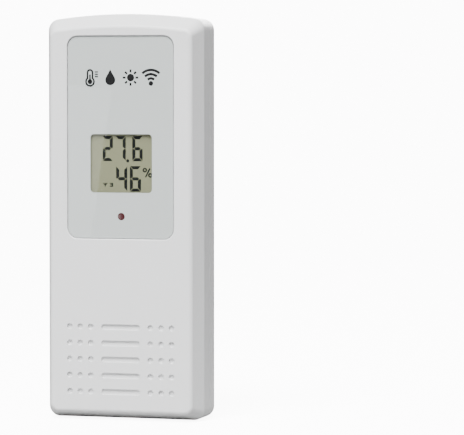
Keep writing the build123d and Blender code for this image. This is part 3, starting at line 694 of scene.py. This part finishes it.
def make_cell(made, node, body, label, nub_up):
    """An AA cell: a steel can in a printed sleeve, with an insulating ring round its nub."""
    low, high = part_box(node)
    centre_x, centre_y, radius = (low.x + high.x) / 2, (low.y + high.y) / 2, (high.x - low.x) / 2
    base, way = (low.z, 1) if nub_up else (high.z, -1)
    nub_height, sides = 1.05 * mm, 96
    length = high.z - low.z - nub_height
    top = length / mm
    sleeve, can, ring = 0, 1, 2
    # (radius, height above the base, which material) in millimetres, from the base up
    profile = [
        (0, 0.12, can), (3.9, 0.12, can), (4.2, 0.0, can), (5.9, 0.0, can), (6.2, 0.22, can),
        (6.75, 0.22, can), (7.0, 0.10, sleeve), (7.14, 0.30, sleeve), (7.2, 0.70, sleeve),
        (7.2, top - 0.75, sleeve), (7.12, top - 0.35, sleeve), (6.85, top - 0.10, sleeve),
        (6.3, top, sleeve), (5.5, top, sleeve), (5.4, top - 0.22, ring), (3.7, top - 0.22, ring),
        (3.6, top - 0.05, can), (2.85, top - 0.05, can), (2.72, top + 0.15, can),
        (2.66, top + 0.75, can), (2.4, top + 1.0, can), (2.0, top + 1.05, can), (0, top + 1.05, can),
    ]

    def fill(work):
        rings = []
        for reach, along, _ in profile:
            turns = [2 * math.pi * i / sides for i in range(sides)] if reach else [0.0]
            rings.append([(centre_x + reach * mm * math.cos(t), centre_y + reach * mm * math.sin(t),
                           base + way * along * mm) for t in turns])
        add_rings(work, rings, materials=[kind for _, _, kind in profile])
    piece = add_piece(node + "_cell", fill, [made[label], made["cell_can"], made["cell_ring"]], body,
                      smooth=True)
    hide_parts(node)

    def signs(work):
        y_back, y_front = centre_y + radius - 0.12 * mm, centre_y + radius + 0.03 * mm
        plus_z, minus_z = base + way * (length - 7 * mm), base + way * 5 * mm
        arm, line = 1.3 * mm, 0.6 * mm
        bar = [(centre_x - arm, plus_z), (centre_x + arm, plus_z)]
        add_stroke(work, bar, line, y_back, y_front)
        for end in (-1, 1):
            half_post = [(centre_x, plus_z + end * 0.32 * mm), (centre_x, plus_z + end * arm)]
            add_stroke(work, half_post, line, y_back, y_front)
        bar = [(centre_x - arm, minus_z), (centre_x + arm, minus_z)]
        add_stroke(work, bar, line, y_back, y_front)
    add_piece(node + "_signs", signs, made["label_white"], body)


def make_switch_marks(made):
    """Raised figures 1, 2 and 3 beside the slider, and a ring round each button, read from behind."""
    y_back, y_front = switch_floor_y - 0.02 * mm, switch_floor_y + 0.14 * mm
    width_of, height_of, line = 1.0 * mm, 1.7 * mm, 0.24 * mm
    foot = slider_high.z + 1.1 * mm
    corners = {
        "1": [[(0.25, 0.78), (0.55, 1), (0.55, 0)]],
        "2": [[(0, 1), (1, 1), (1, 0.52), (0, 0.48), (0, 0), (1, 0)]],
        "3": [[(0, 1), (1, 1), (1, 0.02), (0, 0.02)], [(0.25, 0.5), (0.9, 0.5)]],
    }

    def figures(work):
        for figure, x in (("1", 2.0), ("2", 0.0), ("3", -2.0)):
            for path in corners[figure]:
                points = [(x * mm - (across - 0.5) * width_of, foot + along * height_of)
                          for across, along in path]
                add_stroke(work, points, line, y_back, y_front)
    add_piece("slider_figures", figures, made["mark_grey"], "housing")

    button_x, button_z, ring_radius, ring_line = 11.6 * mm, 68.5 * mm, 2.75 * mm, 0.3 * mm
    for side, name in ((-1, "reset_button"), (1, "unit_button")):
        def loop(work, side=side):
            circle = arc((side * button_x, button_z), ring_radius, 0, 354, 59)
            add_stroke(work, circle, ring_line, y_back, y_front, closed=True)
        add_piece(name + "_ring", loop, made["case_plastic"], "housing")


# ------------------------------------------------------------------ stage and light
def make_stage():
    """A pale floor that fades out into a white surround."""
    floor_radius, gap_below_foot = 0.8, 0.2 * mm
    tone_start, tone_end = 0.06, 0.20
    fade_start, fade_end = 0.10, 0.75
    mesh = bpy.data.meshes.new("floor")
    work = bmesh.new()
    bmesh.ops.create_circle(work, cap_ends=True, segments=96, radius=floor_radius)
    work.to_mesh(mesh)
    work.free()
    floor = bpy.data.objects.new("floor", mesh)
    floor.location.z = -gap_below_foot
    bpy.context.scene.collection.objects.link(floor)
    material = new_material("floor_paper", (0.3, 0.3, 0.3), 0.8)
    add_bump(material, noise(material, 2 * mm), 0.01 * mm)
    glow = add_node(material, "ShaderNodeEmission", Strength=FLOOR_GLOW)
    pale = add_node(material, "ShaderNodeBsdfDiffuse", Color=(0.95, 0.95, 0.95, 1))
    seen = add_node(material, "ShaderNodeAddShader")
    link(material, glow.outputs[0], seen.inputs[0])
    link(material, pale.outputs[0], seen.inputs[1])
    rays = add_node(material, "ShaderNodeLightPath")
    by_ray = add_node(material, "ShaderNodeMixShader")
    link(material, rays.outputs["Is Camera Ray"], by_ray.inputs[0])
    link(material, shader_of(material).outputs[0], by_ray.inputs[1])
    link(material, seen.outputs[0], by_ray.inputs[2])
    reach = add_node(material, "ShaderNodeVectorMath", operation="LENGTH")
    link(material, object_place(material), reach.inputs[0])
    tone = add_node(material, "ShaderNodeMapRange", interpolation_type="SMOOTHSTEP")
    tone.inputs["From Min"].default_value, tone.inputs["From Max"].default_value = tone_start, tone_end
    tone.inputs["To Min"].default_value, tone.inputs["To Max"].default_value = FLOOR_TONE
    link(material, reach.outputs["Value"], tone.inputs["Value"])
    link(material, tone.outputs[0], shader_of(material).inputs["Base Color"])
    fade = add_node(material, "ShaderNodeMapRange", interpolation_type="SMOOTHSTEP")
    fade.inputs["From Min"].default_value, fade.inputs["From Max"].default_value = fade_start, fade_end
    link(material, reach.outputs["Value"], fade.inputs["Value"])
    clear = add_node(material, "ShaderNodeBsdfTransparent")
    out = add_node(material, "ShaderNodeMixShader")
    link(material, fade.outputs[0], out.inputs[0])
    link(material, by_ray.outputs[0], out.inputs[1])
    link(material, clear.outputs[0], out.inputs[2])
    link(material, out.outputs[0], material.node_tree.nodes["Material Output"].inputs[0])
    mesh.materials.append(material)

    world = bpy.data.worlds.new("studio")
    world.use_nodes = True
    bpy.context.scene.world = world
    tree = world.node_tree
    lit = tree.nodes["Background"]
    lit.inputs["Color"].default_value = (1, 1, 1, 1)
    lit.inputs["Strength"].default_value = WORLD_LIGHT
    seen = tree.nodes.new("ShaderNodeBackground")
    seen.inputs["Color"].default_value = (1, 1, 1, 1)
    seen.inputs["Strength"].default_value = WORLD_SEEN
    rays = tree.nodes.new("ShaderNodeLightPath")
    mix = tree.nodes.new("ShaderNodeMixShader")
    tree.links.new(rays.outputs["Is Camera Ray"], mix.inputs[0])
    tree.links.new(lit.outputs[0], mix.inputs[1])
    tree.links.new(seen.outputs[0], mix.inputs[2])
    tree.links.new(mix.outputs[0], tree.nodes["World Output"].inputs[0])


def add_light(name, place, aim, size, power):
    """A soft square light at a place, aimed at a point, that the camera doesn't see."""
    lamp = bpy.data.lights.new(name, "AREA")
    lamp.shape = "SQUARE"
    lamp.size = size
    lamp.energy = power
    light = bpy.data.objects.new(name, lamp)
    light.location = place
    light.rotation_euler = (Vector(aim) - Vector(place)).to_track_quat("-Z", "Y").to_euler()
    light.visible_camera = False
    bpy.context.scene.collection.objects.link(light)


def add_card():
    """A dim card to the front left, whose leaning right edge shows in the panel as a soft boundary."""
    width, height, drop = 0.5, 0.3, 0.108
    away = Vector((-0.3146, -0.9490, -0.0229))  # from the panel to the card
    edge = Vector((0.0114, -0.0033, 0.084))  # the way its right edge leans
    edge_spot = Vector((-0.4146, -1.2456, 0.058))
    upward = (edge - away * edge.dot(away)).normalized()
    sideways = upward.cross(away)
    lamp = bpy.data.lights.new("card", "AREA")
    lamp.shape = "RECTANGLE"
    lamp.size, lamp.size_y = width, height
    lamp.energy = CARD_WATTS
    card = bpy.data.objects.new("card", lamp)
    spot = edge_spot - upward * drop - sideways * width / 2
    turn = Matrix((sideways, upward, away)).transposed().to_4x4()
    card.matrix_world = Matrix.Translation(spot) @ turn
    card.visible_camera = False
    bpy.context.scene.collection.objects.link(card)


# ------------------------------------------------------------------ the scene
place_camera()
made = make_materials()
paint_cad(made)
make_film(made)
make_display(made)
make_print(made)
make_screw(made)
make_spring(made, "spring_left", True)
make_spring(made, "spring_right", False)
make_cell(made, "battery_left", "cell_left", "label_nub_up", True)
make_cell(made, "battery_right", "cell_right", "label_nub_down", False)
make_switch_marks(made)
make_stage()
middle = Vector((0, 0, case_height / 2))
add_light("key_light", middle + Vector((0.0, -1.06, 1.70)), middle, 1.1, KEY_WATTS)
add_light("rear_light", middle + Vector((-0.2, 1.8, 0.84)), middle, 1.2, REAR_WATTS)
add_card()
